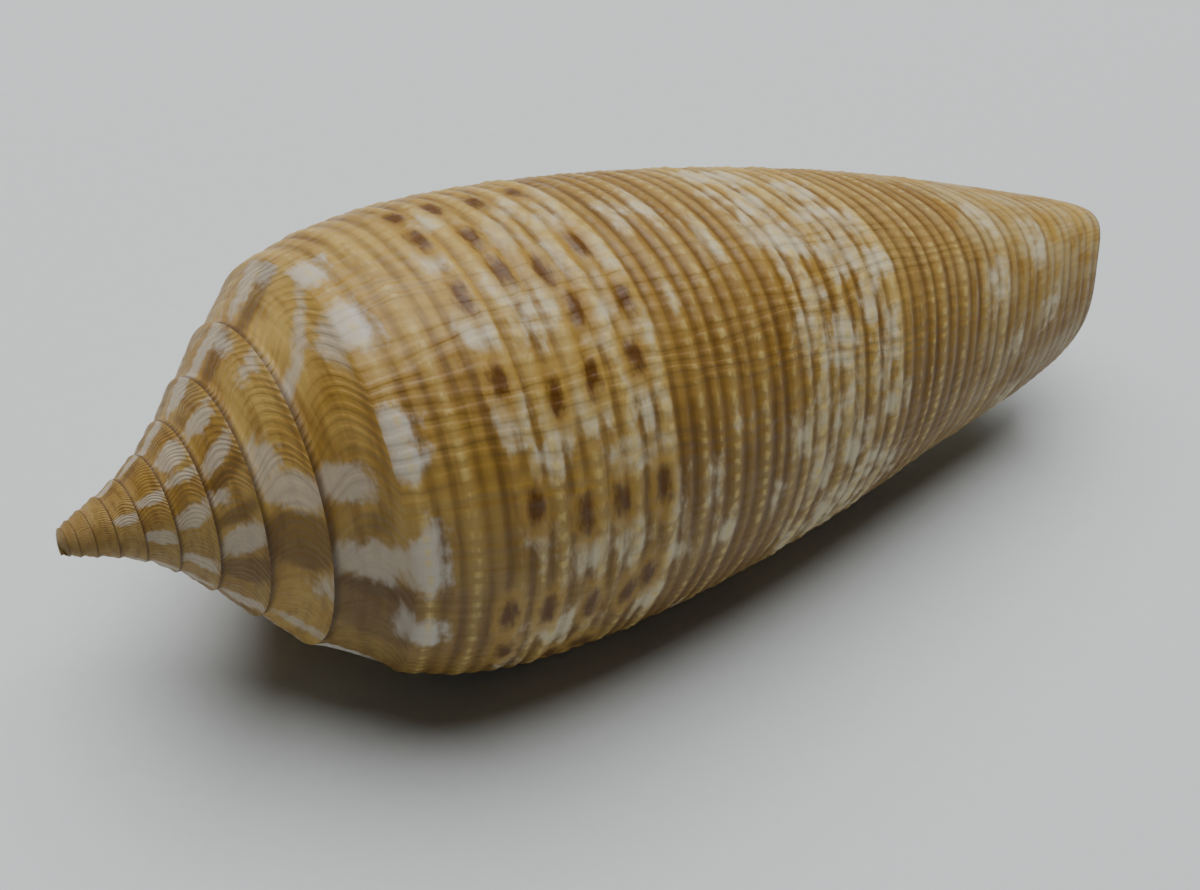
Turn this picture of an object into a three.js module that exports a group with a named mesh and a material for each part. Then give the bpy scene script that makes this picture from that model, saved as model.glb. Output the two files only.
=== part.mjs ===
// An empty cone shell, lying on its aperture.
// Millimetres, +Z up. The shell is modelled about its own axis, with the apex at the origin and
// the front end towards +X, then rolled and pitched to the way it lies on a table.
//
// The surface is one sheet wound in a right-handed spiral. A column is a line of growth, counted in
// turns back from the edge of the outer lip. A row runs along the spiral: over the sloping ramp from
// the suture to the shoulder, and from there down the body to the front end.
import * as THREE from 'three';

// Driving dimensions
const FRONT_DISTANCE = 68.5;        // from the apex to the front end, at the lip
const SHOULDER_RADIUS = 12.75;
const SHOULDER_DISTANCE = 15.1;     // from the apex, along the axis
const GROWTH_PER_TURN = 1.3;        // radius of one whorl over the radius of the whorl before
const SPIRE_POWER = 0.95;           // under 1 makes the sides of the spire hollow
const TIP_NARROWING = 0.3;          // share that the first whorls are thinner than the growth says
const NARROWED_TURNS = [1, 6];      // where the narrowing starts and is complete
const TIP_DRAWN_OUT = 1.42;         // how much further out the tip of the spire stands
const DRAWN_OUT_FROM = 3;           // turns back from the lip
const LEAN = 0.9;                   // the tip leans sideways
const LEAN_REACH = 17.3;            // from the apex, along the axis
const LEAN_ANGLE = -138.6;          // degrees about +X
const TURNS = 9;
const FRONT_ADVANCE = 3.8;          // how far the front end moves on in a turn
const FRONT_CREST = 2.5;            // where the back of the front end stands forward
const FRONT_CREST_TURN = 0.32;
const FRONT_CREST_REACH = 0.09;
const CORNER_SET_BACK = 2;          // where the lip's front corner is rounded off
const CORNER_REACH = 0.14;
const LIP_SLOPE = 1.1;              // how far the lip's shoulder slopes forward
const LIP_SLOPE_REACH = 0.055;
const CAVITY_TURNS = 0.8;

// Thickness of the wall
const WALL = 1.1;
const FRONT_WALL = 0.75;
const LIP_EDGE = 0.6;
const LIP_EDGE_REACH = 0.06;
const LIP_CALLUS = 0.8;             // extra thickness some way in from the lip's edge
const LIP_CALLUS_TURN = 0.17;
const LIP_CALLUS_REACH = 0.12;

// Body outline, as shares of the shoulder radius
const SWELL = 0.2;                  // below the shoulder
const SWELL_REACH = 0.09;           // of the body's height
const TAPER = 0.79;                 // at the front end
const TAPER_POWER = 2.16;
const LIP_FLARE = 0.1;              // at the front end
const LIP_FLARE_REACH = 0.4;        // turns
const FRONT_PART = 0.7;             // of the body's height, where the flare and thinner wall start
const COLUMELLA_DRAW_IN = 0.48;     // share the last part of the turn is thinner at the front

// How it lies
const LIP_ANGLE = -131.6;           // degrees about +X, where -90 is straight down
const PITCH = 4.7;                  // degrees, front end down

// Mesh density
const COLUMNS_PER_TURN = 36;
const RAMP_ROWS = 3;
const BODY_ROWS = [0.035, 0.065, 0.1, 0.15, 0.21, 0.28, 0.36, 0.45, 0.54, 0.63, 0.72, 0.81, 0.89, 0.95, 1];
const INNER_RAMP_ROWS = 3;

const LAST_BODY_ROW = RAMP_ROWS + BODY_ROWS.length;
const CAVITY_COLUMNS = Math.round(CAVITY_TURNS * COLUMNS_PER_TURN);
const SPIRE_COLUMNS = TURNS * COLUMNS_PER_TURN;

const { lerp, smoothstep, degToRad } = THREE.MathUtils;

function bell(value, middle, reach) {
  return Math.exp(-(((value - middle) / reach) ** 2));
}

function shoulderRadius(turn) {
  const narrowing = 1 - TIP_NARROWING * smoothstep(turn, ...NARROWED_TURNS);
  return SHOULDER_RADIUS * narrowing * GROWTH_PER_TURN ** -turn;
}

function shoulderX(turn) {
  const grown = SHOULDER_DISTANCE * GROWTH_PER_TURN ** (-SPIRE_POWER * turn);
  const drawnOut = TIP_DRAWN_OUT * smoothstep(turn, DRAWN_OUT_FROM, TURNS);
  return grown - drawnOut + LIP_SLOPE * bell(turn, 0, LIP_SLOPE_REACH);
}

function frontX(turn) {
  const crest = FRONT_CREST * bell(turn, FRONT_CREST_TURN, FRONT_CREST_REACH);
  const setBack = CORNER_SET_BACK * bell(turn, 0, CORNER_REACH);
  return FRONT_DISTANCE - FRONT_ADVANCE * turn + crest - setBack;
}

// Growth lines bend back over the ramp, where the animal's outlet was, and a little at the front.
function growthLineShift(place) {
  if (place < 0) return -0.16 * Math.sin(Math.PI * (place + 1));
  return 0.05 * Math.sin(Math.PI * place) - 0.1 * smoothstep(place, 0.8, 1) ** 2;
}

// Towards the front the last part of the turn draws in to the thin columella.
function columellaDrawIn(turn, down) {
  return 1 - COLUMELLA_DRAW_IN * smoothstep(down, 0.4, 1) * smoothstep(turn, 0.72, 1);
}

function bodyRadius(turn, down) {
  const outline = 1 + SWELL * (1 - Math.exp(-down / SWELL_REACH)) - TAPER * down ** TAPER_POWER;
  const nearLip = 1 - smoothstep(turn, 0, LIP_FLARE_REACH);
  const flare = LIP_FLARE * smoothstep(down, FRONT_PART, 1) * nearLip;
  return shoulderRadius(turn) * (outline + flare) * columellaDrawIn(turn, down);
}

function pointAt(x, radius, turn, place) {
  const angle = degToRad(LIP_ANGLE) - 2 * Math.PI * turn + growthLineShift(place);
  const lean = LEAN * Math.max(0, 1 - x / LEAN_REACH) ** 2;
  const y = radius * Math.cos(angle) + lean * Math.cos(degToRad(LEAN_ANGLE));
  const z = radius * Math.sin(angle) + lean * Math.sin(degToRad(LEAN_ANGLE));
  return new THREE.Vector3(x, y, z);
}

// share runs from 0 at the suture to 1 at the shoulder.
function rampPoint(turn, share) {
  const x = lerp(shoulderX(turn + 1), shoulderX(turn), share);
  const radius = lerp(shoulderRadius(turn + 1), shoulderRadius(turn), share);
  return pointAt(x, radius, turn, share - 1);
}

// down runs from 0 at the shoulder to 1 at the front end.
function bodyPoint(turn, down, inset = 0) {
  const x = lerp(shoulderX(turn), frontX(turn), down);
  return pointAt(x, bodyRadius(turn, down) - inset, turn, down);
}

function wallThickness(turn, down) {
  const callus = LIP_CALLUS * bell(turn, LIP_CALLUS_TURN, LIP_CALLUS_REACH);
  const full = lerp(WALL + callus, FRONT_WALL, smoothstep(down, FRONT_PART, 1));
  return lerp(LIP_EDGE, full, smoothstep(turn, 0, LIP_EDGE_REACH));
}

class Sheet {
  constructor() {
    this.positions = [];
    this.triangles = [];
    this.known = new Map();
  }

  vertex(name, makePoint) {
    if (!this.known.has(name)) {
      this.known.set(name, this.positions.length / 3);
      this.positions.push(...makePoint().toArray());
    }
    return this.known.get(name);
  }

  triangle(a, b, c) {
    this.triangles.push(a, b, c);
  }

  quad(a, b, c, d) {
    this.triangle(a, b, c);
    this.triangle(a, c, d);
  }

  fan(centre, ring) {
    ring.slice(1).forEach((next, i) => this.triangle(centre, ring[i], next));
  }

  // Joins two lines of vertices that start and end side by side, however many each has.
  zip(left, right) {
    let i = 0;
    let j = 0;
    while (i < left.length - 1 || j < right.length - 1) {
      const leftNext = (i + 1) / (left.length - 1);
      const rightNext = (j + 1) / (right.length - 1);
      if (j === right.length - 1 || (i < left.length - 1 && leftNext <= rightNext)) {
        this.triangle(left[i], right[j], left[i + 1]);
        i += 1;
      } else {
        this.triangle(left[i], right[j], right[j + 1]);
        j += 1;
      }
    }
  }

  geometry() {
    const geometry = new THREE.BufferGeometry();
    geometry.setAttribute('position', new THREE.Float32BufferAttribute(this.positions, 3));
    geometry.setIndex(this.triangles);
    geometry.computeVertexNormals();
    return geometry;
  }
}

const sheet = new Sheet();

// Row 0 is the suture, which is also the shoulder of the whorl before.
function outer(column, row) {
  if (row === 0) return outer(column + COLUMNS_PER_TURN, RAMP_ROWS);
  const turn = column / COLUMNS_PER_TURN;
  return sheet.vertex(`outer ${column} ${row}`, () => {
    if (row <= RAMP_ROWS) return rampPoint(turn, row / RAMP_ROWS);
    return bodyPoint(turn, BODY_ROWS[row - RAMP_ROWS - 1]);
  });
}

// The wall's inner face starts on the whorl before, runs under the ramp and then down the body.
function innerPoint(turn, row) {
  const corner = bodyPoint(turn + 1, BODY_ROWS[0]);
  const underShoulder = bodyPoint(turn, BODY_ROWS[0], wallThickness(turn, 0));
  if (row <= INNER_RAMP_ROWS) {
    return corner.lerp(underShoulder, row / INNER_RAMP_ROWS);
  }
  const share = (row - INNER_RAMP_ROWS) / (BODY_ROWS.length - 1 - INNER_RAMP_ROWS);
  const down = lerp(BODY_ROWS[0], 1, share);
  return bodyPoint(turn, down, wallThickness(turn, down));
}

// The inner face meets the whorl before at its top and at the end of the cavity.
function inner(column, row) {
  const facing = outer(column + COLUMNS_PER_TURN, RAMP_ROWS + 1 + row);
  if (row === 0 || column === CAVITY_COLUMNS) return facing;
  return sheet.vertex(`inner ${column} ${row}`, () => {
    const turn = column / COLUMNS_PER_TURN;
    const closing = smoothstep(turn, 0.5 * CAVITY_TURNS, CAVITY_TURNS);
    const facingPoint = bodyPoint(turn + 1, BODY_ROWS[row]);
    return innerPoint(turn, row).lerp(facingPoint, closing);
  });
}

function range(first, last) {
  return Array.from({ length: last - first + 1 }, (_, i) => first + i);
}

// The faces between two columns and two rows, seen from outside the shell.
function patch(vertexAt, columns, rows) {
  for (const column of columns) {
    for (const row of rows) {
      sheet.quad(
        vertexAt(column, row),
        vertexAt(column, row + 1),
        vertexAt(column + 1, row + 1),
        vertexAt(column + 1, row),
      );
    }
  }
}

function addSpire() {
  patch(outer, range(0, SPIRE_COLUMNS - 1), range(0, RAMP_ROWS - 1));
  const apex = sheet.vertex('apex', () => {
    const x = shoulderX(TURNS) - 0.5 * shoulderRadius(TURNS);
    return pointAt(x, 0, TURNS, 0);
  });
  const lastTurn = range(SPIRE_COLUMNS, SPIRE_COLUMNS + COLUMNS_PER_TURN);
  const edge = range(1, RAMP_ROWS).map((row) => outer(SPIRE_COLUMNS, row));
  sheet.fan(apex, [...lastTurn.map((column) => outer(column, RAMP_ROWS)), ...edge]);
}

function addBody() {
  patch(outer, range(0, COLUMNS_PER_TURN - 1), range(RAMP_ROWS, LAST_BODY_ROW - 1));
}

function addCavity() {
  const facingColumns = range(COLUMNS_PER_TURN, COLUMNS_PER_TURN + CAVITY_COLUMNS - 1);
  patch(outer, facingColumns, range(RAMP_ROWS + 1, LAST_BODY_ROW - 1));
  const turnedRound = (column, row) => inner(CAVITY_COLUMNS - column, row);
  patch(turnedRound, range(0, CAVITY_COLUMNS - 1), range(0, BODY_ROWS.length - 2));
}

function addLipEdge() {
  const outside = range(0, LAST_BODY_ROW).map((row) => outer(0, row));
  const inside = range(0, BODY_ROWS.length - 1).map((row) => inner(0, row));
  sheet.zip(outside, inside);
}

function addFrontEnd() {
  const lastInnerRow = BODY_ROWS.length - 1;
  for (const column of range(0, CAVITY_COLUMNS - 1)) {
    sheet.quad(
      outer(column, LAST_BODY_ROW),
      inner(column, lastInnerRow),
      inner(column + 1, lastInnerRow),
      outer(column + 1, LAST_BODY_ROW),
    );
  }
  const core = range(CAVITY_COLUMNS, CAVITY_COLUMNS + COLUMNS_PER_TURN);
  const tip = sheet.vertex('columella tip', () => new THREE.Vector3(frontX(1) + 1, 0, 0));
  const ring = core.map((column) => outer(column, LAST_BODY_ROW));
  sheet.fan(tip, [...ring, ring[0]].reverse());
}

function makeShell() {
  addSpire();
  addBody();
  addCavity();
  addLipEdge();
  addFrontEnd();
  const material = new THREE.MeshStandardMaterial({ color: 0xc29a5b, roughness: 0.45, metalness: 0 });
  const shell = new THREE.Mesh(sheet.geometry(), material);
  shell.name = 'shell';
  shell.rotation.y = degToRad(PITCH);
  return shell;
}

// The origin is on the table, under the middle of the shell.
function restOnTable(group) {
  const box = new THREE.Box3().setFromObject(group, true);
  const middle = box.getCenter(new THREE.Vector3());
  group.position.set(-middle.x, -middle.y, -box.min.z);
}

const group = new THREE.Group();
group.add(makeShell());
restOnTable(group);

export default group;
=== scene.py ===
import math

import bpy
import numpy as np
from mathutils import Matrix, Vector


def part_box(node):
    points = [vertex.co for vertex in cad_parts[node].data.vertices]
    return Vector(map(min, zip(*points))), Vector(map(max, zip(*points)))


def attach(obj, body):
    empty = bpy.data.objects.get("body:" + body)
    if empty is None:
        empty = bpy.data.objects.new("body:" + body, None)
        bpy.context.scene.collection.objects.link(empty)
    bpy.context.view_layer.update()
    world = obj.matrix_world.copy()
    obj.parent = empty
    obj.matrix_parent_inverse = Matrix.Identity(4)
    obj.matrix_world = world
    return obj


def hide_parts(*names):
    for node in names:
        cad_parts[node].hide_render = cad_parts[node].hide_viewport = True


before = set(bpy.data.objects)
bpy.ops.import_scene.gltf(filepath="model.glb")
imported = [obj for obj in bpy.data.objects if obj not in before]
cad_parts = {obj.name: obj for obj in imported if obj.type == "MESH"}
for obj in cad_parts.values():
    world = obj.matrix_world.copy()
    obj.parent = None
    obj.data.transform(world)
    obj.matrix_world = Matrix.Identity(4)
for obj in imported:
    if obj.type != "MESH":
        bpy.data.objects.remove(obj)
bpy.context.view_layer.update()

# The visual shell repeats the CAD shell's spiral, in millimetres about the shell's own axis, and adds
# the cords, the suture and the colours. "turn" counts whorls back from the edge of the outer lip.
# "place" runs along the spiral: from -1 at the suture to 0 at the shoulder, and from there down the
# body to 1 at the front end.
MM = 0.001

# ------------------------------------------------------------------------------------------- Form

FRONT_DISTANCE = 68.5            # from the apex to the front end, at the lip
SHOULDER_RADIUS = 12.75
SHOULDER_DISTANCE = 15.1         # from the apex, along the axis
GROWTH_PER_TURN = 1.3
SPIRE_POWER = 0.95
TIP_NARROWING = 0.3
NARROWED_TURNS = (1, 6)
TIP_DRAWN_OUT = 1.42
DRAWN_OUT_FROM = 3               # turns back from the lip
LEAN = 0.9                       # of the tip, sideways
LEAN_REACH = 17.3
LEAN_ANGLE = math.radians(-138.6)
TURNS = 9
FRONT_ADVANCE = 3.8
FRONT_CREST = 2.5
FRONT_CREST_TURN = 0.32
FRONT_CREST_REACH = 0.09
CORNER_SET_BACK = 2.0
CORNER_REACH = 0.14
LIP_SLOPE = 1.1
LIP_SLOPE_REACH = 0.055
CAVITY_TURNS = 0.8
WALL = 1.1
FRONT_WALL = 0.75
LIP_EDGE = 0.6
LIP_EDGE_REACH = 0.06
LIP_CALLUS = 0.8
LIP_CALLUS_TURN = 0.17
LIP_CALLUS_REACH = 0.12
SWELL = 0.2
SWELL_REACH = 0.09
TAPER = 0.79
TAPER_POWER = 2.16
LIP_FLARE = 0.1
LIP_FLARE_REACH = 0.4
FRONT_PART = 0.7                 # of the body's height, where the flare and thinner wall start
COLUMELLA_DRAW_IN = 0.48
COLUMELLA_FROM = 0.4             # of the body's height
COLUMELLA_FROM_TURN = 0.72
COLUMELLA_TIP = 1                # past the front end
RAMP_BEND = 0.16                 # of the growth lines, in radians, where the animal's outlet was
BODY_BEND = 0.05
FRONT_BEND = 0.1
FRONT_BEND_FROM = 0.8            # of the body's height
LIP_ANGLE = math.radians(-131.6)
PITCH = math.radians(4.7)

# Mesh density
COLUMNS = 240                    # growth lines in a turn
RAMP_ROWS = (16, 12, 10, 8, 6, 5, 4, 4, 4)      # of each whorl, the last whorl first
CORD_PAIRS = 25                  # a broad cord and a narrow one make a pair
CROWDING = 0.13
BROAD_SHARE = 0.6                # of a pair
CROSS_STEPS = (0.12, 0.32, 0.5, 0.68, 0.88, 1.0)     # rows across one cord
COARSE_STEP = 4                  # columns of the body for each column of the cavity
COARSE_ROWS = 56
INNER_RAMP_ROWS = 8
INNER_CORNER = 0.035             # where the inner face of the last whorl leaves the whorl before

# Relief
CORD_HEIGHT = 0.17
BROAD_CREST = 0.84               # share of the height that a broad cord has
NARROW_CREST = 0.6
SHOULDER_CORDS = 0.72            # share of the height that cords have at the shoulder
FRONT_CORDS = 0.45               # and at the front end
BEADS = 66                       # along a cord, in a turn
BEAD_SHARE = 0.18                # of the cord's height
SUTURE_DIP = 0.34
SUTURE_REACH = 0.05              # of the ramp
RIM_HEIGHT = 0.12
RIM_REACH_UP = 0.07              # of the ramp
RIM_REACH_DOWN = 0.012           # of the body's height
RAMP_THREADS = 6
RAMP_THREAD_HEIGHT = 0.05
LIP_BULGE = 0.2                  # of the rounded edge, onward
LIP_BULGE_ROWS = 6               # from the suture, over which the edge takes its full shape
FRONT_RIM_BULGE = 0.15
PLACE_STEP = 0.001               # for the slope of the outline


def mix(a, b, share):
    return a + (b - a) * share


def smooth(value, low, high):
    share = np.clip((value - low) / (high - low), 0, 1)
    return share * share * (3 - 2 * share)


def bell(value, middle, reach):
    return np.exp(-(((value - middle) / reach) ** 2))


def shoulder_radius(turn):
    narrowing = 1 - TIP_NARROWING * smooth(turn, *NARROWED_TURNS)
    return SHOULDER_RADIUS * narrowing * GROWTH_PER_TURN ** -turn


def shoulder_x(turn):
    grown = SHOULDER_DISTANCE * GROWTH_PER_TURN ** (-SPIRE_POWER * turn)
    drawn_out = TIP_DRAWN_OUT * smooth(turn, DRAWN_OUT_FROM, TURNS)
    return grown - drawn_out + LIP_SLOPE * bell(turn, 0, LIP_SLOPE_REACH)


def front_x(turn):
    crest = FRONT_CREST * bell(turn, FRONT_CREST_TURN, FRONT_CREST_REACH)
    set_back = CORNER_SET_BACK * bell(turn, 0, CORNER_REACH)
    return FRONT_DISTANCE - FRONT_ADVANCE * turn + crest - set_back


def growth_line_shift(place):
    over_ramp = -RAMP_BEND * np.sin(math.pi * (place + 1))
    to_front = FRONT_BEND * smooth(place, FRONT_BEND_FROM, 1) ** 2
    over_body = BODY_BEND * np.sin(math.pi * place) - to_front
    return np.where(place < 0, over_ramp, over_body)


def body_radius(turn, down):
    outline = 1 + SWELL * (1 - np.exp(-down / SWELL_REACH)) - TAPER * down**TAPER_POWER
    flare = LIP_FLARE * smooth(down, FRONT_PART, 1) * (1 - smooth(turn, 0, LIP_FLARE_REACH))
    drawn_in = COLUMELLA_DRAW_IN * smooth(down, COLUMELLA_FROM, 1) * smooth(turn, COLUMELLA_FROM_TURN, 1)
    return shoulder_radius(turn) * (outline + flare) * (1 - drawn_in)


def outline_at(turn, place):
    """Distance along the axis, and radius, before any relief."""
    share = np.clip(place + 1, 0, 1)
    down = np.clip(place, 0, 1)
    ramp_x = mix(shoulder_x(turn + 1), shoulder_x(turn), share)
    ramp_radius = mix(shoulder_radius(turn + 1), shoulder_radius(turn), share)
    body_x = mix(shoulder_x(turn), front_x(turn), down)
    x = np.where(place <= 0, ramp_x, body_x)
    return x, np.where(place <= 0, ramp_radius, body_radius(turn, down))


def in_space(x, radius, turn, place):
    angle = LIP_ANGLE - 2 * math.pi * turn + growth_line_shift(place)
    lean = LEAN * np.maximum(0, 1 - x / LEAN_REACH) ** 2
    y = radius * np.cos(angle) + lean * math.cos(LEAN_ANGLE)
    z = radius * np.sin(angle) + lean * math.sin(LEAN_ANGLE)
    return np.stack(np.broadcast_arrays(x, y, z), axis=-1)


def pair_at(down):
    """Cord pairs crowd a little towards the front end."""
    return CORD_PAIRS * ((1 - CROWDING) * down + CROWDING * down**2)


def down_at(pair):
    even = 1 - CROWDING
    return (-even + np.sqrt(even**2 + 4 * CROWDING * pair / CORD_PAIRS)) / (2 * CROWDING)


def cord_at(down):
    """Share of the way across a cord, and whether the cord is a broad one."""
    across = pair_at(down) % 1
    broad = across < BROAD_SHARE
    share = np.where(broad, across / BROAD_SHARE, (across - BROAD_SHARE) / (1 - BROAD_SHARE))
    return share, broad


def cord_crest(down):
    """0 in a groove to 1 on a crest. Narrow cords are lower, and no two cords are quite alike."""
    share, broad = cord_at(down)
    pair = np.floor(pair_at(down))
    uneven = 1 + 0.16 * np.sin(2.4 * pair) + 0.1 * np.sin(5.3 * pair + 1)
    rounded = 0.5 - 0.5 * np.cos(2 * math.pi * share)
    return rounded * np.where(broad, BROAD_CREST * uneven, NARROW_CREST / uneven)


def beads(turn, down):
    """Growth lines cut the cords into low beads."""
    phase = 1.9 * np.floor(2 * pair_at(down)) + 1.5 * np.sin(14 * math.pi * turn)
    return 1 + BEAD_SHARE * np.sin(2 * math.pi * BEADS * turn + phase)


def cord_strength(turn, down):
    """Cords are lower at both ends, and fade under the glaze inside the aperture."""
    from_shoulder = SHOULDER_CORDS * smooth(down, 0.002, 0.014)
    from_shoulder = from_shoulder + (1 - SHOULDER_CORDS) * smooth(down, 0.05, 0.18)
    in_aperture = smooth(turn, 0.97, 1.01)
    to_front = mix(1.0, FRONT_CORDS, smooth(down, 0.62, 0.92))
    return from_shoulder * (1 - in_aperture) * to_front


def relief(turn, place):
    """Millimetres that the surface stands out from the outline."""
    down = np.clip(place, 0, 1)
    share = np.clip(place + 1, 0, 1)
    size = np.sqrt(shoulder_radius(turn) / SHOULDER_RADIUS)
    cords = CORD_HEIGHT * (cord_crest(down) * beads(turn, down) - 0.5) * cord_strength(turn, down)
    body = cords + size * RIM_HEIGHT * bell(down, 0, RIM_REACH_DOWN)
    dip = -SUTURE_DIP * (1 - share) ** 2 * (1 - np.exp(-share / SUTURE_REACH))
    rim = RIM_HEIGHT * bell(share, 1, RIM_REACH_UP)
    threads = RAMP_THREAD_HEIGHT * np.cos(2 * math.pi * RAMP_THREADS * share)
    ramp = size * (dip + rim + threads * np.sin(math.pi * share))
    return np.where(place < 0, ramp, body)


def surface(turn, place):
    """The outer surface with its relief, which stands out square to the outline."""
    turn, place = np.broadcast_arrays(np.asarray(turn, float), np.asarray(place, float))
    x, radius = outline_at(turn, place)
    x_before, radius_before = outline_at(turn, np.maximum(place - PLACE_STEP, -1))
    x_after, radius_after = outline_at(turn, np.minimum(place + PLACE_STEP, 1))
    run, rise = x_after - x_before, radius_after - radius_before
    height = relief(turn, place) / np.hypot(run, rise)
    return in_space(x - height * rise, radius + height * run, turn, place)


def wall_thickness(turn, down):
    callus = LIP_CALLUS * bell(turn, LIP_CALLUS_TURN, LIP_CALLUS_REACH)
    full = mix(WALL + callus, FRONT_WALL, smooth(down, FRONT_PART, 1))
    return mix(LIP_EDGE, full, smooth(turn, 0, LIP_EDGE_REACH))


def inner_face(turn, places):
    """The wall's inner face: under the ramp from the whorl before, and then down the body."""
    corner = surface(turn + 1, INNER_CORNER)
    x, radius = outline_at(turn, places)
    down_the_body = in_space(x, radius - wall_thickness(turn, places), turn, places)
    share = np.arange(INNER_RAMP_ROWS)[:, None] / INNER_RAMP_ROWS
    return np.concatenate([mix(corner, down_the_body[0], share), down_the_body])


# ------------------------------------------------------------------------------------------- Mesh
# A line is a list of (vertex, (turn, place, depth)), where depth is 0 outside and 1 in the aperture.


class Sheet:
    def __init__(self):
        self.points, self.known = [], {}
        self.corners, self.coordinates = [], []

    def line(self, names, points, turn, places, depth=0.0):
        made = []
        for name, point, place in zip(names, points, places):
            if name not in self.known:
                self.known[name] = len(self.points)
                self.points.append(point)
            made.append((self.known[name], (turn, place, depth)))
        return made

    def triangle(self, *ends):
        self.corners.append([vertex for vertex, _ in ends])
        self.coordinates.append([where for _, where in ends])

    def strip(self, left, right):
        """Joins two lines that run side by side, however many vertices each has."""
        i = j = 0
        while i < len(left) - 1 or j < len(right) - 1:
            left_is_next = (i + 1) * (len(right) - 1) <= (j + 1) * (len(left) - 1)
            if j == len(right) - 1 or (i < len(left) - 1 and left_is_next):
                self.triangle(left[i], right[j], left[i + 1])
                i += 1
            else:
                self.triangle(left[i], right[j], right[j + 1])
                j += 1

    def strips(self, lines):
        for line, following in zip(lines, lines[1:]):
            self.strip(following, line)

    def fan(self, centre, ring):
        for here, there in zip(ring, ring[1:]):
            self.triangle(centre, here, there)


def body_places():
    """Rows at the same steps across every cord, so that each groove keeps its shape."""
    edges = [pair + start for pair in range(CORD_PAIRS) for start in (0.0, BROAD_SHARE)]
    edges.append(CORD_PAIRS)
    rows = [mix(low, high, step) for low, high in zip(edges, edges[1:]) for step in CROSS_STEPS]
    return down_at(np.array(rows))


BODY_PLACES = body_places()
CORNER_ROW = int(np.searchsorted(BODY_PLACES, INNER_CORNER))
COARSE_PLACES = np.linspace(BODY_PLACES[CORNER_ROW], 1, COARSE_ROWS + 1)


def named(kind, column, count):
    return [(kind, column, row) for row in range(count)]


def shoulder(sheet, column, turn, place):
    """The shoulder vertex, which the next whorl out uses again as its suture."""
    return sheet.line([("shoulder", column)], [surface(column / COLUMNS, 0.0)], turn, [place])


def ramp_line(sheet, column, rows):
    turn = column / COLUMNS
    places = np.arange(1, rows) / rows - 1
    middle = sheet.line(named("ramp", column, rows - 1), surface(turn, places), turn, places)
    suture = shoulder(sheet, column + COLUMNS, turn, -1.0)
    return suture + middle + shoulder(sheet, column, turn, 0.0)


def body_line(sheet, column, depth=0.0):
    turn = column / COLUMNS
    names = named("body", column, len(BODY_PLACES))
    rows = sheet.line(names, surface(turn, BODY_PLACES), turn, BODY_PLACES, depth)
    return shoulder(sheet, column, turn, 0.0) + rows


def facing_line(sheet, column):
    """The whorl before, where it is the cavity's inner side."""
    turn = column / COLUMNS
    names = named("facing", column, COARSE_ROWS + 1)
    return sheet.line(names, surface(turn, COARSE_PLACES), turn, COARSE_PLACES, 1.0)


def inner_line(sheet, column, facing):
    turn = column / COLUMNS
    places = np.linspace(INNER_CORNER, 1, COARSE_ROWS + 1 - INNER_RAMP_ROWS)
    points = inner_face(turn, places)
    whorl_before = surface(turn + 1, COARSE_PLACES)
    points = mix(points, whorl_before, smooth(turn, 0.5 * CAVITY_TURNS, CAVITY_TURNS))
    places = np.concatenate([np.full(INNER_RAMP_ROWS, INNER_CORNER), places])
    names = named("inner", column, COARSE_ROWS + 1)
    return facing[:1] + sheet.line(names[1:], points[1:], turn, places[1:], 1.0)


def add_spire(sheet):
    for whorl, rows in enumerate(RAMP_ROWS):
        first, last = whorl * COLUMNS, (whorl + 1) * COLUMNS
        next_rows = RAMP_ROWS[min(whorl + 1, TURNS - 1)]
        lines = [ramp_line(sheet, column, rows) for column in range(first, last)]
        sheet.strips(lines + [ramp_line(sheet, last, next_rows)])
    end = TURNS * COLUMNS
    apex_x = shoulder_x(TURNS) - 0.5 * shoulder_radius(TURNS)
    apex = sheet.line(["apex"], [in_space(apex_x, 0.0, TURNS, 0.0)], TURNS + 1.0, [-0.5])[0]
    ring = [shoulder(sheet, end + i, TURNS + i / COLUMNS, 0.0)[0] for i in range(COLUMNS + 1)]
    sheet.fan(apex, ring + ramp_line(sheet, end, RAMP_ROWS[-1])[1:])


def add_body(sheet):
    lines = [body_line(sheet, column) for column in range(COLUMNS + 1)]
    sheet.strips(lines)
    return lines


def add_cavity(sheet, columns):
    edge = body_line(sheet, COLUMNS, depth=1.0)[1 + CORNER_ROW:]
    facing = [edge] + [facing_line(sheet, column + COLUMNS) for column in columns[1:]]
    sheet.strips(facing)
    inner = [inner_line(sheet, column, start) for column, start in zip(columns[:-1], facing)]
    sheet.strips(list(reversed(inner + [facing[-1]])))
    return facing, inner + [facing[-1]]


def points_of(sheet, line):
    return np.array([sheet.points[vertex] for vertex, _ in line])


def along(points, count):
    """The same line of points with another count."""
    old, new = np.linspace(0, 1, len(points)), np.linspace(0, 1, count)
    return np.stack([np.interp(new, old, points[:, axis]) for axis in range(3)], axis=-1)


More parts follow.
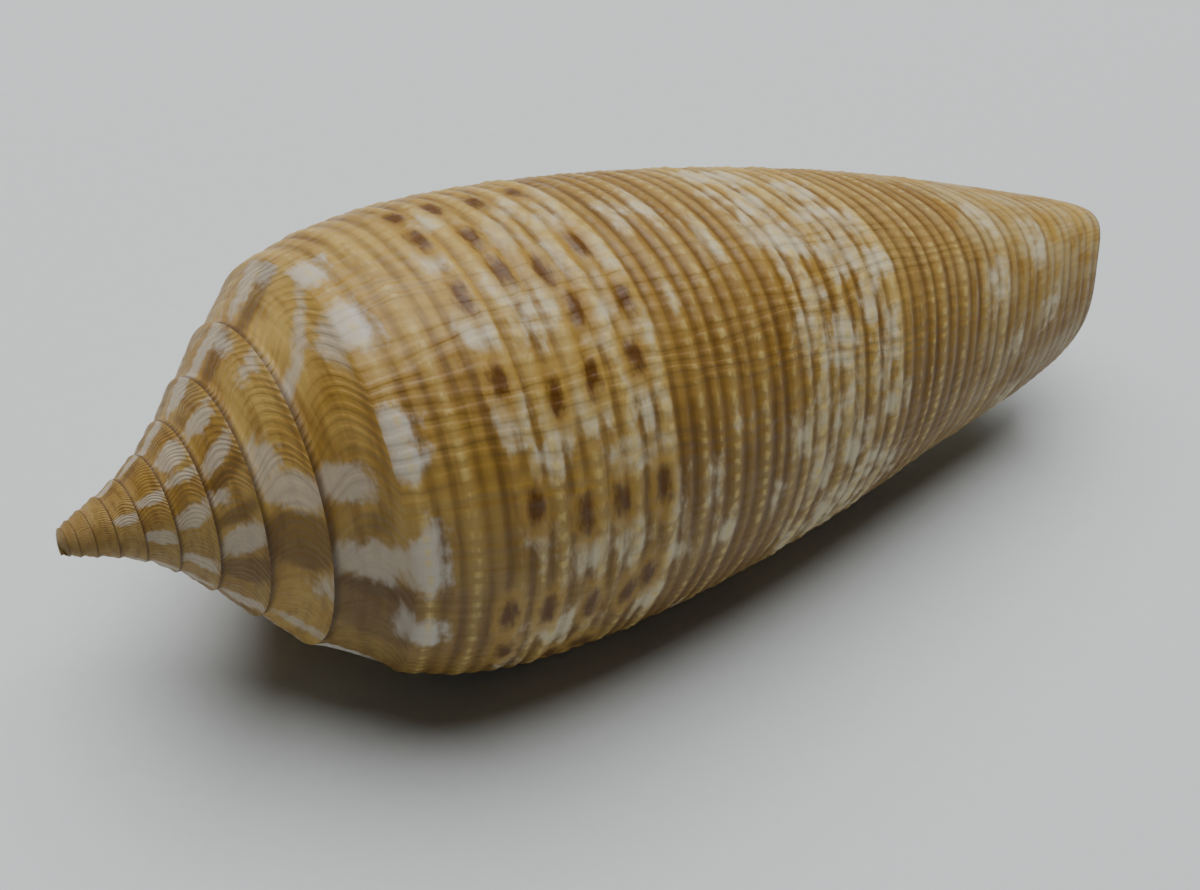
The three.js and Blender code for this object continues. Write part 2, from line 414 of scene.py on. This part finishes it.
def add_lip(sheet, lines, inner):
    """The lip's edge, rounded over from the outer face to the inner one."""
    outside = ramp_line(sheet, 0, RAMP_ROWS[0])[:-1] + lines[0]
    inside = body_line(sheet, COLUMNS, depth=1.0)[:1 + CORNER_ROW] + inner[0]
    here = points_of(sheet, outside)
    angle = np.arctan2(here[:, 2], here[:, 1])
    inward = -np.stack([0 * angle, np.cos(angle), np.sin(angle)], axis=-1)
    onward = np.stack([0 * angle, -np.sin(angle), np.cos(angle)], axis=-1)
    crest_points = here + 0.5 * LIP_EDGE * inward + LIP_BULGE * onward
    share = smooth(np.arange(len(here)), 0, LIP_BULGE_ROWS)[:, None]
    crest_points = mix(here, crest_points, share)
    places = [place for _, (_, place, _) in outside]
    names = named("lip", 0, len(outside))
    crest = outside[:1] + sheet.line(names[1:], crest_points[1:], 0.0, places[1:], 0.5)
    sheet.strip(outside, crest)
    sheet.strip(crest, inside)
    return crest[-1]


def add_front_end(sheet, lines, facing, inner, corner):
    """The rim of the open front end, and the solid core that ends in the columella's tip."""
    last = round(CAVITY_TURNS * COLUMNS)
    rim = [line[-1] for line in lines[:last + 1]]
    inner_rim = [line[-1] for line in inner]
    middle = 0.5 * (points_of(sheet, rim) + along(points_of(sheet, inner_rim), len(rim)))
    middle[:, 0] += FRONT_RIM_BULGE
    names = named("rim", 0, len(rim))
    crest = [corner]
    for i in range(1, len(rim)):
        crest += sheet.line(names[i:i + 1], middle[i:i + 1], i / COLUMNS, [1.0], 0.5)
    sheet.strip(rim, crest)
    sheet.strip(crest, inner_rim)
    core = [line[-1] for line in lines[last:]] + [line[-1] for line in facing[1:]]
    tip_point = np.array([front_x(1) + COLUMELLA_TIP, 0, 0])
    tip = sheet.line(["tip"], [tip_point], 1.0, [1.0], 0.5)[0]
    sheet.fan(tip, (core + [crest[-1], core[0]])[::-1])


def make_sheet():
    sheet = Sheet()
    add_spire(sheet)
    lines = add_body(sheet)
    columns = list(range(0, round(CAVITY_TURNS * COLUMNS) + 1, COARSE_STEP))
    facing, inner = add_cavity(sheet, columns)
    corner = add_lip(sheet, lines, inner)
    add_front_end(sheet, lines, facing, inner, corner)
    return sheet


# --------------------------------------------------------------------------------------- Markings
# A patch is (turn, place, half its length in turns, half its width in place). Its turn is how far
# round the shell it lies, without the bend of the growth lines.

TURN_LENGTH = 85.0               # of the last whorl, about halfway down the body
BODY_LENGTH = 53.0
RAMP_WIDTH = 4.4
MARK_SEED = 11
THREAD_PITCH = 0.95              # of the growth lines
DARK_ROW_STEP = 0.077            # turns between two rows of dark dots
LAST_SEEN_ROW = 0.428            # turn of the last such row in DARK_PATCHES
SEEN_TURNS = (0.05, 0.46)        # of the last whorl, in the photo
DOT_PLACES = (0.12, 0.165, 0.21, 0.26)
SECOND_BAND_PLACES = np.arange(0.465, 0.62, 0.03)
BROWN_BAND = (0.3, 0.44)
FRONT_END = (0.76, 0.94)
HIDDEN_RAMPS = 6                 # the whorls after these are worn plain
HIDDEN_RAMP_TURNS = (0.47, 1.04)
PATCH_POWER = 2.6                # 2 is an ellipse, and more is squarer
FAR_OUTSIDE = -2.0               # the depth away from every patch
MARGIN = 0.03                    # turns outside a patch where its depth still counts
SLANT_REACH = 1.2                # places that a slanted block may cover
HAIR = 1e-6                      # so that the shoulder itself belongs to the body
BLOCK_EDGE = (-0.3, 0.4)         # depths between which a brown block comes in
EVEN_CREST = 0.3                 # where there are no cords, for the colours

WHITE_PATCHES = [
    # behind the shoulder, down to the first groove
    (0.345, 0.012, 0.018, 0.020), (0.408, 0.012, 0.015, 0.018), (0.11, 0.012, 0.012, 0.018),
    (0.175, 0.012, 0.022, 0.018), (0.243, 0.012, 0.010, 0.018), (0.270, 0.012, 0.012, 0.016),
    # first spotted band
    (0.213, 0.243, 0.010, 0.035), (0.240, 0.158, 0.018, 0.012), (0.250, 0.195, 0.014, 0.022),
    (0.252, 0.257, 0.022, 0.018), (0.252, 0.113, 0.016, 0.015), (0.290, 0.217, 0.014, 0.014),
    (0.292, 0.268, 0.012, 0.013), (0.312, 0.248, 0.016, 0.012), (0.315, 0.112, 0.014, 0.016),
    (0.323, 0.165, 0.022, 0.020), (0.328, 0.195, 0.014, 0.014), (0.348, 0.222, 0.014, 0.010),
    (0.345, 0.268, 0.013, 0.013), (0.375, 0.112, 0.012, 0.010), (0.378, 0.190, 0.016, 0.020),
    (0.380, 0.255, 0.014, 0.013), (0.413, 0.145, 0.012, 0.025), (0.408, 0.225, 0.013, 0.015),
    (0.415, 0.268, 0.013, 0.014), (0.225, 0.135, 0.010, 0.012), (0.175, 0.125, 0.014, 0.010),
    (0.100, 0.137, 0.014, 0.012), (0.155, 0.190, 0.010, 0.012), (0.157, 0.238, 0.008, 0.008),
    (0.150, 0.225, 0.020, 0.010), (0.172, 0.288, 0.015, 0.008), (0.170, 0.212, 0.012, 0.006),
    (0.150, 0.165, 0.012, 0.008), (0.130, 0.290, 0.012, 0.010), (0.100, 0.280, 0.010, 0.008),
    (0.100, 0.190, 0.015, 0.010),
    # brown band
    (0.213, 0.365, 0.005, 0.005), (0.215, 0.404, 0.004, 0.004), (0.302, 0.322, 0.005, 0.004),
    (0.135, 0.355, 0.010, 0.012), (0.142, 0.425, 0.007, 0.005), (0.380, 0.325, 0.013, 0.010),
    (0.383, 0.362, 0.010, 0.008), (0.345, 0.395, 0.010, 0.006), (0.175, 0.335, 0.008, 0.005),
    (0.135, 0.305, 0.008, 0.006),
    # second spotted band
    (0.255, 0.470, 0.018, 0.015), (0.245, 0.520, 0.022, 0.022), (0.245, 0.495, 0.020, 0.010),
    (0.240, 0.585, 0.022, 0.015), (0.265, 0.565, 0.020, 0.012), (0.285, 0.487, 0.012, 0.012),
    (0.310, 0.467, 0.013, 0.012), (0.312, 0.545, 0.018, 0.025), (0.300, 0.590, 0.012, 0.022),
    (0.330, 0.495, 0.016, 0.020), (0.345, 0.460, 0.015, 0.015), (0.345, 0.575, 0.016, 0.022),
    (0.360, 0.545, 0.020, 0.015), (0.375, 0.490, 0.020, 0.020), (0.390, 0.570, 0.020, 0.020),
    (0.390, 0.460, 0.015, 0.012), (0.420, 0.500, 0.020, 0.040), (0.185, 0.455, 0.012, 0.010),
    (0.180, 0.510, 0.015, 0.008), (0.185, 0.600, 0.015, 0.020), (0.200, 0.485, 0.015, 0.012),
    (0.205, 0.530, 0.012, 0.012), (0.160, 0.545, 0.020, 0.020), (0.150, 0.490, 0.020, 0.012),
    (0.210, 0.580, 0.015, 0.010), (0.130, 0.470, 0.010, 0.008), (0.100, 0.530, 0.020, 0.030),
    (0.130, 0.580, 0.020, 0.020),
    # front end
    (0.250, 0.780, 0.024, 0.016), (0.290, 0.855, 0.026, 0.018), (0.335, 0.790, 0.020, 0.014),
    (0.200, 0.890, 0.020, 0.014), (0.180, 0.830, 0.014, 0.010),
]

# Dark dots are all one size, so each is only (turn, place).
DARK_PATCHES = [
    (0.200, 0.123), (0.185, 0.175), (0.189, 0.218), (0.189, 0.267), (0.262, 0.163), (0.278, 0.113),
    (0.268, 0.205), (0.272, 0.257), (0.338, 0.115), (0.350, 0.165), (0.343, 0.205), (0.358, 0.258),
    (0.383, 0.165), (0.395, 0.118), (0.430, 0.122), (0.430, 0.165), (0.425, 0.208), (0.430, 0.260),
    (0.118, 0.138), (0.113, 0.190), (0.122, 0.094), (0.113, 0.235), (0.122, 0.258), (0.080, 0.100),
    (0.060, 0.195), (0.310, 0.215), (0.310, 0.267),
]
DARK_HALF_SIZE = (0.0100, 0.0072)

# A block on the ramps is a patch with its slant, in turns per place. A brown one has its strength too.
RAMP_WHITES = [
    (0.170, -0.50, 0.016, 0.55, 0.0), (0.120, -0.08, 0.012, 0.14, 0.0),
    (0.240, -0.68, 0.017, 0.34, 0.0), (0.367, -0.45, 0.010, 0.42, 0.075),
    (0.343, -0.10, 0.018, 0.16, 0.0), (0.450, -0.12, 0.012, 0.18, 0.0),
    (1.241, -0.50, 0.021, 0.55, -0.02), (1.275, -0.76, 0.028, 0.26, 0.0),
    (1.135, -0.14, 0.014, 0.18, 0.0), (1.050, -0.40, 0.011, 0.40, 0.0),
    (1.380, -0.25, 0.011, 0.25, 0.0), (1.440, -0.25, 0.021, 0.17, 0.0),
    (2.180, -0.50, 0.022, 0.55, 0.04), (2.250, -0.80, 0.011, 0.22, 0.0),
    (2.312, -0.50, 0.014, 0.50, 0.04), (2.380, -0.45, 0.018, 0.40, 0.0),
    (3.110, -0.50, 0.018, 0.50, 0.0), (3.222, -0.50, 0.021, 0.50, 0.03),
    (3.310, -0.50, 0.011, 0.50, 0.0), (3.365, -0.45, 0.030, 0.40, 0.0),
    (4.175, -0.50, 0.024, 0.50, 0.0), (4.295, -0.50, 0.016, 0.50, 0.0),
    (5.260, -0.50, 0.020, 0.50, 0.0),
]
RAMP_BROWNS = [
    (0.118, -0.45, 0.036, 0.60, 0.0, 0.55), (0.145, -0.50, 0.011, 0.60, 0.0, 0.9),
    (1.185, -0.50, 0.034, 0.60, 0.0, 0.75), (2.125, -0.50, 0.025, 0.60, 0.03, 0.7),
    (2.220, -0.50, 0.012, 0.60, 0.03, 0.7), (2.280, -0.50, 0.012, 0.60, 0.03, 0.7),
    (0.205, -0.35, 0.010, 0.20, 0.0, 0.5), (1.350, -0.03, 0.050, 0.06, 0.0, 0.6),
]


def depth_in_patch(turn, place, patch, slant=0.0, width=BODY_LENGTH):
    """Millimetres in from the patch's edge. Outside it is less than nothing."""
    centre, middle, half_turn, half_place = patch
    a, b = half_turn * TURN_LENGTH, half_place * width
    along_growth = (turn - centre - slant * (place - middle)) * TURN_LENGTH / a
    across = (place - middle) * width / b
    reach = np.abs(along_growth) ** PATCH_POWER + np.abs(across) ** PATCH_POWER
    return (1 - reach ** (1 / PATCH_POWER)) * min(a, b)


def deepest(turn, place, patches, field, zone):
    """Adds patches to a field. zone is -1 for the ramps and 1 for the body."""
    for patch, slant in patches:
        width = BODY_LENGTH if zone > 0 else RAMP_WIDTH
        half_turn = patch[2] + abs(slant) * SLANT_REACH
        near = np.abs(turn - patch[0]) < half_turn + MARGIN
        near &= np.sign(place + HAIR * zone) == zone
        depth = depth_in_patch(turn[near], place[near], patch, slant, width)
        field[near] = np.maximum(field[near], depth)


def hidden_side_patches(random):
    """The same bands and rows of markings where the camera doesn't see them."""
    whites, darks = [], []
    for row in range(round(1 / DARK_ROW_STEP)):
        turn = (LAST_SEEN_ROW + DARK_ROW_STEP * (row + 1)) % 1
        if SEEN_TURNS[0] < turn < SEEN_TURNS[1]:
            continue
        for place in DOT_PLACES:
            if random.random() < 0.85:
                darks.append((turn + random.normal(0, 0.008), place))
            if random.random() < 0.8:
                centre = turn + DARK_ROW_STEP * random.uniform(0.3, 0.7)
                whites.append((centre, place + random.normal(0, 0.008),
                               random.uniform(0.010, 0.021), random.uniform(0.010, 0.021)))
        for place in SECOND_BAND_PLACES:
            for share in (0.25, 0.7):
                if random.random() < 0.75:
                    whites.append((turn + DARK_ROW_STEP * share + random.normal(0, 0.006),
                                   place + random.normal(0, 0.006),
                                   random.uniform(0.012, 0.02), random.uniform(0.010, 0.02)))
        whites.append((turn, random.uniform(*BROWN_BAND), 0.007, 0.006))
        if random.random() < 0.5:
            whites.append((turn, 0.012, random.uniform(0.010, 0.018), 0.018))
        for place in random.uniform(*FRONT_END, 2):
            whites.append((turn + random.normal(0, 0.02), place, 0.02, 0.013))
    return whites, darks


def hidden_ramp_patches(random):
    """Blocks round the far side of the ramps."""
    whites, browns = [], []
    for whorl in range(HIDDEN_RAMPS):
        turn = whorl + HIDDEN_RAMP_TURNS[0]
        while turn < whorl + HIDDEN_RAMP_TURNS[1]:
            half = random.uniform(0.011, 0.022)
            low = random.uniform(-1.0, -0.55)
            slant = random.uniform(-0.02, 0.05)
            whites.append((turn, 0.5 * low, half, 0.55 * abs(low) + 0.05, slant))
            strength = random.uniform(0.2, 0.8)
            browns.append((turn - 2.2 * half, -0.5, half, 0.6, 0.02, strength))
            turn += random.uniform(0.06, 0.1)
    return whites, browns


def markings(turn, place):
    """Depth in white, depth in dark dots, and how brown, at each corner of the mesh."""
    turn = turn - growth_line_shift(place) / (2 * math.pi)
    random = np.random.default_rng(MARK_SEED)
    more_whites, more_darks = hidden_side_patches(random)
    more_ramp_whites, more_browns = hidden_ramp_patches(random)
    white = np.full(len(turn), FAR_OUTSIDE)
    dark = white.copy()
    brown = np.zeros(len(turn))
    deepest(turn, place, [(patch, 0.0) for patch in WHITE_PATCHES + more_whites], white, 1)
    dots = [(spot + DARK_HALF_SIZE, 0.0) for spot in DARK_PATCHES + more_darks]
    deepest(turn, place, dots, dark, 1)
    blocks = [(block[:4], block[4]) for block in RAMP_WHITES + more_ramp_whites]
    deepest(turn, place, blocks, white, -1)
    for block in RAMP_BROWNS + more_browns:
        depth = np.full(len(turn), FAR_OUTSIDE)
        deepest(turn, place, [(block[:4], block[4])], depth, -1)
        brown = np.maximum(brown, block[5] * smooth(depth, *BLOCK_EDGE))
    return white, dark, brown


# ---------------------------------------------------------------------------------------- Objects


def on_table(points):
    """Pitched as the CAD shell is, and set down where it stands."""
    cosine, sine = math.cos(PITCH), math.sin(PITCH)
    x = points[:, 0] * cosine + points[:, 2] * sine
    z = -points[:, 0] * sine + points[:, 2] * cosine
    placed = np.stack([x, points[:, 1], z], axis=-1) * MM
    low, high = (np.array(corner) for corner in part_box("shell"))
    middle = 0.5 * (placed.min(0) + placed.max(0))
    goal = 0.5 * (low + high)
    goal[2] = low[2] + middle[2] - placed[:, 2].min()
    return placed + goal - middle


def add_attribute(mesh, name, values):
    attribute = mesh.attributes.new(name, "FLOAT_VECTOR", "CORNER")
    attribute.data.foreach_set("vector", np.asarray(values, np.float32).ravel())


def make_shell():
    sheet = make_sheet()
    corners = np.array(sheet.corners)
    mesh = bpy.data.meshes.new("shell_visual")
    mesh.from_pydata(on_table(np.array(sheet.points)).tolist(), [], corners.tolist())
    mesh.shade_smooth()
    turn, place, depth = np.array(sheet.coordinates).reshape(-1, 3).T
    across = place * np.where(place < 0, RAMP_WIDTH, BODY_LENGTH)
    add_attribute(mesh, "growth", np.stack([turn * TURN_LENGTH, across, depth], axis=-1))
    add_attribute(mesh, "markings", np.stack(markings(turn, place), axis=-1))
    down = np.clip(place, 0, 1)
    crest = mix(EVEN_CREST, cord_crest(down), cord_strength(turn, down))
    add_attribute(mesh, "form", np.stack([crest, place, turn], axis=-1))
    shell = bpy.data.objects.new("shell_visual", mesh)
    bpy.context.scene.collection.objects.link(shell)
    return shell


# --------------------------------------------------------------------------------------- Material


def srgb(red, green, blue):
    """A colour as it looks on a screen, 0 to 255, turned into the linear one a shader takes."""
    def linear(value):
        value /= 255
        return value / 12.92 if value <= 0.04045 else ((value + 0.055) / 1.055) ** 2.4
    return (linear(red), linear(green), linear(blue), 1.0)


OCHRE = srgb(170, 134, 60)
YELLOW_OCHRE = srgb(192, 160, 88)
BROWN = srgb(128, 92, 40)
# dark brown of the ramp blocks, also laid on the spire and the lower flank as painted shade
DARK_BROWN_AND_SHADE = srgb(88, 60, 26)
CREAM = srgb(188, 166, 116)
GREY_WHITE = srgb(196, 189, 176)
WARM_WHITE = srgb(204, 192, 160)
# painted shade in the grooves between the cords
GROOVE_SHADE = srgb(92, 62, 22)
# painted highlight: glints on the cord crests
CREST_GLINT = srgb(212, 186, 114)
DOT_BROWN = srgb(88, 52, 10)
WORN_TIP = srgb(150, 120, 66)
SUTURE_BROWN = srgb(70, 46, 24)
PORCELAIN = srgb(226, 220, 206)
WHITE_ON_BODY = 0.92             # how much of the ground colour a patch covers
WHITE_ON_RAMPS = 0.56
THREAD_RELIEF = 0.06 * MM
GRAIN_RELIEF = 0.04 * MM


class Nodes:
    """Short names for making and joining shader nodes."""

    def __init__(self, name):
        self.material = bpy.data.materials.new(name)
        self.material.use_nodes = True
        self.tree = self.material.node_tree
        self.shader = self.tree.nodes["Principled BSDF"]

    def put(self, socket, value):
        if isinstance(value, bpy.types.NodeSocket):
            self.tree.links.new(value, socket)
        else:
            socket.default_value = value

    def math(self, operation, a, b=0.0):
        node = self.tree.nodes.new("ShaderNodeMath")
        node.operation = operation
        self.put(node.inputs[0], a)
        self.put(node.inputs[1], b)
        return node.outputs[0]

    def add(self, a, b):
        return self.math("ADD", a, b)

    def times(self, a, b):
        return self.math("MULTIPLY", a, b)

    def swing(self, value, amount, middle=0.5):
        """How far a value is from its middle, times an amount."""
        return self.times(self.math("SUBTRACT", value, middle), amount)

    def ramp(self, value, low, high, start=0.0, end=1.0):
        node = self.tree.nodes.new("ShaderNodeMapRange")
        node.interpolation_type = "SMOOTHSTEP"
        for socket, given in zip(node.inputs, (value, low, high, start, end)):
            self.put(socket, given)
        return node.outputs[0]

    def attribute(self, name):
        node = self.tree.nodes.new("ShaderNodeAttribute")
        node.attribute_name = name
        split = self.tree.nodes.new("ShaderNodeSeparateXYZ")
        self.tree.links.new(node.outputs["Vector"], split.inputs[0])
        return node.outputs["Vector"], split.outputs

    def stretched(self, place, stretch):
        mapping = self.tree.nodes.new("ShaderNodeMapping")
        mapping.inputs["Scale"].default_value = stretch
        self.tree.links.new(place, mapping.inputs["Vector"])
        return mapping.outputs[0]

    def noise(self, place, scale, stretch=(1, 1, 1), detail=2.0, roughness=0.5):
        node = self.tree.nodes.new("ShaderNodeTexNoise")
        node.inputs["Scale"].default_value = scale
        node.inputs["Detail"].default_value = detail
        node.inputs["Roughness"].default_value = roughness
        self.tree.links.new(self.stretched(place, stretch), node.inputs["Vector"])
        return node.outputs["Fac"]

    def cells(self, place, scale, stretch=(1, 1, 1)):
        """How far it is to the edge of the nearest cell."""
        node = self.tree.nodes.new("ShaderNodeTexVoronoi")
        node.feature = "DISTANCE_TO_EDGE"
        node.inputs["Scale"].default_value = scale
        self.tree.links.new(self.stretched(place, stretch), node.inputs["Vector"])
        return node.outputs["Distance"]

    def mix(self, share, a, b):
        node = self.tree.nodes.new("ShaderNodeMix")
        node.data_type = "RGBA"
        self.put(node.inputs["Factor"], share)
        self.put(node.inputs["A"], a)
        self.put(node.inputs["B"], b)
        return next(socket for socket in node.outputs if socket.type == "RGBA")

    def bump(self, height, distance, strength, normal=None):
        node = self.tree.nodes.new("ShaderNodeBump")
        node.inputs["Strength"].default_value = strength
        node.inputs["Distance"].default_value = distance
        self.put(node.inputs["Height"], height)
        if normal is not None:
            self.tree.links.new(normal, node.inputs["Normal"])
        return node.outputs[0]


def make_shell_material():
    n = Nodes("shell_glaze")
    growth, (along, _, inside) = n.attribute("growth")
    _, (white_depth, dark_depth, brown) = n.attribute("markings")
    _, (crest, place, turn) = n.attribute("form")

    # Ground: ochre that drifts between brown and yellow, streaked along the cords and the growth lines
    drift = n.noise(growth, 0.14, (0.7, 1.0, 1), 3.0)
    along_cords = n.noise(growth, 0.9, (0.16, 1.0, 1), 3.0, 0.6)
    along_growth = n.noise(growth, 1.5, (1.0, 0.09, 1), 3.0, 0.6)
    ground = n.mix(n.ramp(drift, 0.35, 0.65), OCHRE, YELLOW_OCHRE)
    ground = n.mix(n.ramp(along_cords, 0.42, 0.7, 0.0, 0.6), ground, BROWN)
    ground = n.mix(n.ramp(along_growth, 0.42, 0.75, 0.0, 0.35), ground, BROWN)

    # Bands: the middle of the body and a belt nearer the front are browner
    middle_band = n.times(n.ramp(place, 0.27, 0.31), n.ramp(place, 0.47, 0.43))
    fourth_band = n.times(n.ramp(place, 0.60, 0.64), n.ramp(place, 0.80, 0.72))
    band = n.math("MAXIMUM", middle_band, fourth_band)
    ground = n.mix(n.times(band, 0.45), ground, BROWN)

    # Soft pale blotches towards the front end
    blotches = n.noise(growth, 0.3, (0.8, 1.0, 1), 4.0, 0.6)
    front = n.ramp(place, 0.66, 0.8)
    pale = n.times(front, n.ramp(blotches, 0.42, 0.6, 0.0, 0.8))
    ground = n.mix(pale, ground, CREAM)

    # Brown blocks on the ramps. The spire is darker, partly its own brown and partly painted shade
    ground = n.mix(n.times(brown, 0.85), ground, DARK_BROWN_AND_SHADE)
    ground = n.mix(n.ramp(turn, 0.9, 2.2, 0.0, 0.3), ground, DARK_BROWN_AND_SHADE)
    # Painted shade: the last whorl near the lip, which is the lower flank as the shell lies, is darker
    ground = n.mix(n.ramp(turn, 0.36, 0.08, 0.0, 0.5), ground, DARK_BROWN_AND_SHADE)

    # White patches, with ragged edges that follow the cords, veined with the ground colour
    coarse = n.noise(growth, 0.55, (0.7, 1.0, 1), 3.0, 0.6)
    fine = n.noise(growth, 1.7, (0.5, 1.2, 1), 3.0, 0.6)
    ragged = n.add(n.swing(coarse, 2.4), n.swing(fine, 1.3))
    ragged = n.add(ragged, n.swing(crest, 0.4, middle=0.35))
    on_ramp = n.ramp(place, 0.03, -0.02)
    strongest = n.ramp(on_ramp, 0.0, 1.0, WHITE_ON_BODY, WHITE_ON_RAMPS)
    to_vein = n.add(n.cells(growth, 0.42, (0.8, 1.0, 1)), n.swing(fine, 0.35))
    veined = n.math("MAXIMUM", n.ramp(to_vein, -0.04, 0.2, 0.3, 1.0), n.ramp(place, 0.08, 0.03))
    in_patch = n.ramp(n.add(white_depth, ragged), -0.5, 0.4)
    white = n.times(in_patch, n.times(strongest, veined))
    white_tint = n.mix(n.ramp(place, 0.03, 0.16), GREY_WHITE, WARM_WHITE)
    colour = n.mix(white, ground, white_tint)

    # Painted shade darkens the grooves, less inside the white patches
    in_groove = n.ramp(crest, 0.42, 0.0)
    groove_shade_strength = n.ramp(white, 0.0, 1.0, 0.7, 0.35)
    uneven = n.ramp(along_cords, 0.25, 0.7, 0.55, 1.0)
    painted_groove_shade = n.times(n.times(in_groove, groove_shade_strength), uneven)
    colour = n.mix(painted_groove_shade, colour, GROOVE_SHADE)
    # Painted highlight: crests are paler in glints, broken into beads where growth lines cut the cords
    wander = n.times(n.noise(growth, 0.22, (1.0, 0.4, 1), 3.0), 24.0)
    wave = n.add(n.times(along, 2 * math.pi / THREAD_PITCH), wander)
    threads = n.ramp(n.math("SINE", wave), -0.8, 1.0)
    beads = n.ramp(n.times(threads, n.ramp(fine, 0.35, 0.65)), 0.0, 0.7, 0.3, 1.0)
    painted_crest_glint = n.times(n.ramp(crest, 0.4, 0.85, 0.0, 0.74), beads)
    colour = n.mix(painted_crest_glint, colour, CREST_GLINT)

    # Dark dots, each in a ring of ochre
    dot_depth = n.add(dark_depth, n.swing(fine, 0.9))
    colour = n.mix(n.ramp(dot_depth, -0.75, -0.3, 0.0, 0.7), colour, OCHRE)
    colour = n.mix(n.ramp(dot_depth, -0.35, 0.2, 0.0, 0.92), colour, DOT_BROWN)

    # The tip of the spire is worn plain, and the suture is a fine dark line
    colour = n.mix(n.ramp(turn, 5.5, 8.0, 0.0, 0.7), colour, WORN_TIP)
    colour = n.mix(n.ramp(place, -0.9, -0.99, 0.0, 0.75), colour, SUTURE_BROWN)

    # Inside the aperture the glaze is porcelain white
    colour = n.mix(n.ramp(inside, 0.3, 0.8), colour, PORCELAIN)
    n.put(n.shader.inputs["Base Color"], colour)

    # Gloss, growth threads and grain
    wear = n.noise(growth, 0.6, (1, 1, 1), 4.0)
    n.put(n.shader.inputs["Roughness"], n.ramp(wear, 0.3, 0.7, 0.36, 0.56))
    n.shader.inputs["IOR"].default_value = 1.48
    n.shader.inputs["Specular IOR Level"].default_value = 0.35
    grain = n.noise(growth, 3.0, (1, 1, 1), 3.0)
    thread_height = n.times(threads, n.ramp(place, 0.85, 0.55, 0.3, 1.0))
    normal = n.bump(thread_height, THREAD_RELIEF, 0.5)
    n.put(n.shader.inputs["Normal"], n.bump(grain, GRAIN_RELIEF, 0.5, normal))
    return n.material


def make_floor_material():
    n = Nodes("pale_floor")
    coordinates = n.tree.nodes.new("ShaderNodeTexCoord").outputs["Object"]
    grain = n.noise(coordinates, 900.0, (1, 1, 1), 3.0)
    n.put(n.shader.inputs["Base Color"], n.mix(grain, srgb(216, 221, 223), srgb(222, 227, 228)))
    n.shader.inputs["Roughness"].default_value = 0.9
    n.put(n.shader.inputs["Normal"], n.bump(grain, 0.0001, 0.15))
    return n.material


# ------------------------------------------------------------------------------------------ Scene

FLOOR_RADIUS = 3.0
CAMERA_DISTANCE = 0.120
CAMERA_AIM = Vector((-2.75, -1.20, -4.71)) * MM      # from the middle of the CAD box
CAMERA_AZIMUTH = math.radians(34.8)                  # the way it looks, from +Y towards +X
CAMERA_DOWN = math.radians(44.5)
CAMERA_ROLL = math.radians(6.65)
FOCAL_LENGTH = 60.0
SENSOR_WIDTH = 36.0
HORIZON_STRENGTH = 0.5
CEILING_STRENGTH = 0.03
HORIZON_FADE = 0.3               # height of the direction at which the horizon's light has faded
WINDOW_PLACE = Vector((0.10, 0.32, 1.0))             # from the middle of the CAD box
WINDOW_SIZE = 1.3
WINDOW_POWER = 18.5


def make_floor(height):
    corners = [(-1, -1), (1, -1), (1, 1), (-1, 1)]
    points = [(x * FLOOR_RADIUS, y * FLOOR_RADIUS, height) for x, y in corners]
    mesh = bpy.data.meshes.new("floor")
    mesh.from_pydata(points, [], [(0, 1, 2, 3)])
    floor = bpy.data.objects.new("floor", mesh)
    floor.data.materials.append(make_floor_material())
    bpy.context.scene.collection.objects.link(floor)
    return floor


def middle_of_cad():
    low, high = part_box("shell")
    return 0.5 * (low + high)


def make_camera():
    forward = Vector((math.sin(CAMERA_AZIMUTH) * math.cos(CAMERA_DOWN),
                      math.cos(CAMERA_AZIMUTH) * math.cos(CAMERA_DOWN),
                      -math.sin(CAMERA_DOWN)))
    right = forward.cross(Vector((0, 0, 1))).normalized()
    up = right.cross(forward)
    rolled_right = right * math.cos(CAMERA_ROLL) + up * math.sin(CAMERA_ROLL)
    rolled_up = up * math.cos(CAMERA_ROLL) - right * math.sin(CAMERA_ROLL)
    data = bpy.data.cameras.new("camera")
    data.sensor_width, data.lens = SENSOR_WIDTH, FOCAL_LENGTH
    data.clip_start, data.clip_end = 0.005, 20
    camera = bpy.data.objects.new("camera", data)
    turned = Matrix((rolled_right, rolled_up, -forward)).transposed().to_4x4()
    place = middle_of_cad() + CAMERA_AIM - forward * CAMERA_DISTANCE
    camera.matrix_world = Matrix.Translation(place) @ turned
    bpy.context.scene.collection.objects.link(camera)
    bpy.context.scene.camera = camera


def make_window():
    """The one light, high up and a little beyond the shell."""
    data = bpy.data.lights.new("window", "AREA")
    data.shape, data.size, data.energy = "DISK", WINDOW_SIZE, WINDOW_POWER
    light = bpy.data.objects.new("window", data)
    light.location = middle_of_cad() + WINDOW_PLACE
    light.rotation_euler = (middle_of_cad() - light.location).to_track_quat("-Z", "Y").to_euler()
    bpy.context.scene.collection.objects.link(light)


def make_world():
    """Paler near the horizon, so that a low view isn't against a dark wall."""
    world = bpy.data.worlds.new("room")
    world.use_nodes = True
    tree = world.node_tree
    background = tree.nodes["Background"]
    background.inputs["Color"].default_value = srgb(226, 230, 234)
    direction = tree.nodes.new("ShaderNodeTexCoord").outputs["Generated"]
    split = tree.nodes.new("ShaderNodeSeparateXYZ")
    tree.links.new(direction, split.inputs[0])
    fade = tree.nodes.new("ShaderNodeMapRange")
    fade.interpolation_type = "SMOOTHSTEP"
    tree.links.new(split.outputs["Z"], fade.inputs["Value"])
    fade.inputs["From Min"].default_value = 0.0
    fade.inputs["From Max"].default_value = HORIZON_FADE
    fade.inputs["To Min"].default_value = HORIZON_STRENGTH
    fade.inputs["To Max"].default_value = CEILING_STRENGTH
    tree.links.new(fade.outputs[0], background.inputs["Strength"])
    bpy.context.scene.world = world


shell = make_shell()
shell.data.materials.append(make_shell_material())
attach(shell, "root")
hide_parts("shell")
make_floor(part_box("shell")[0].z)
make_camera()
make_world()
make_window()
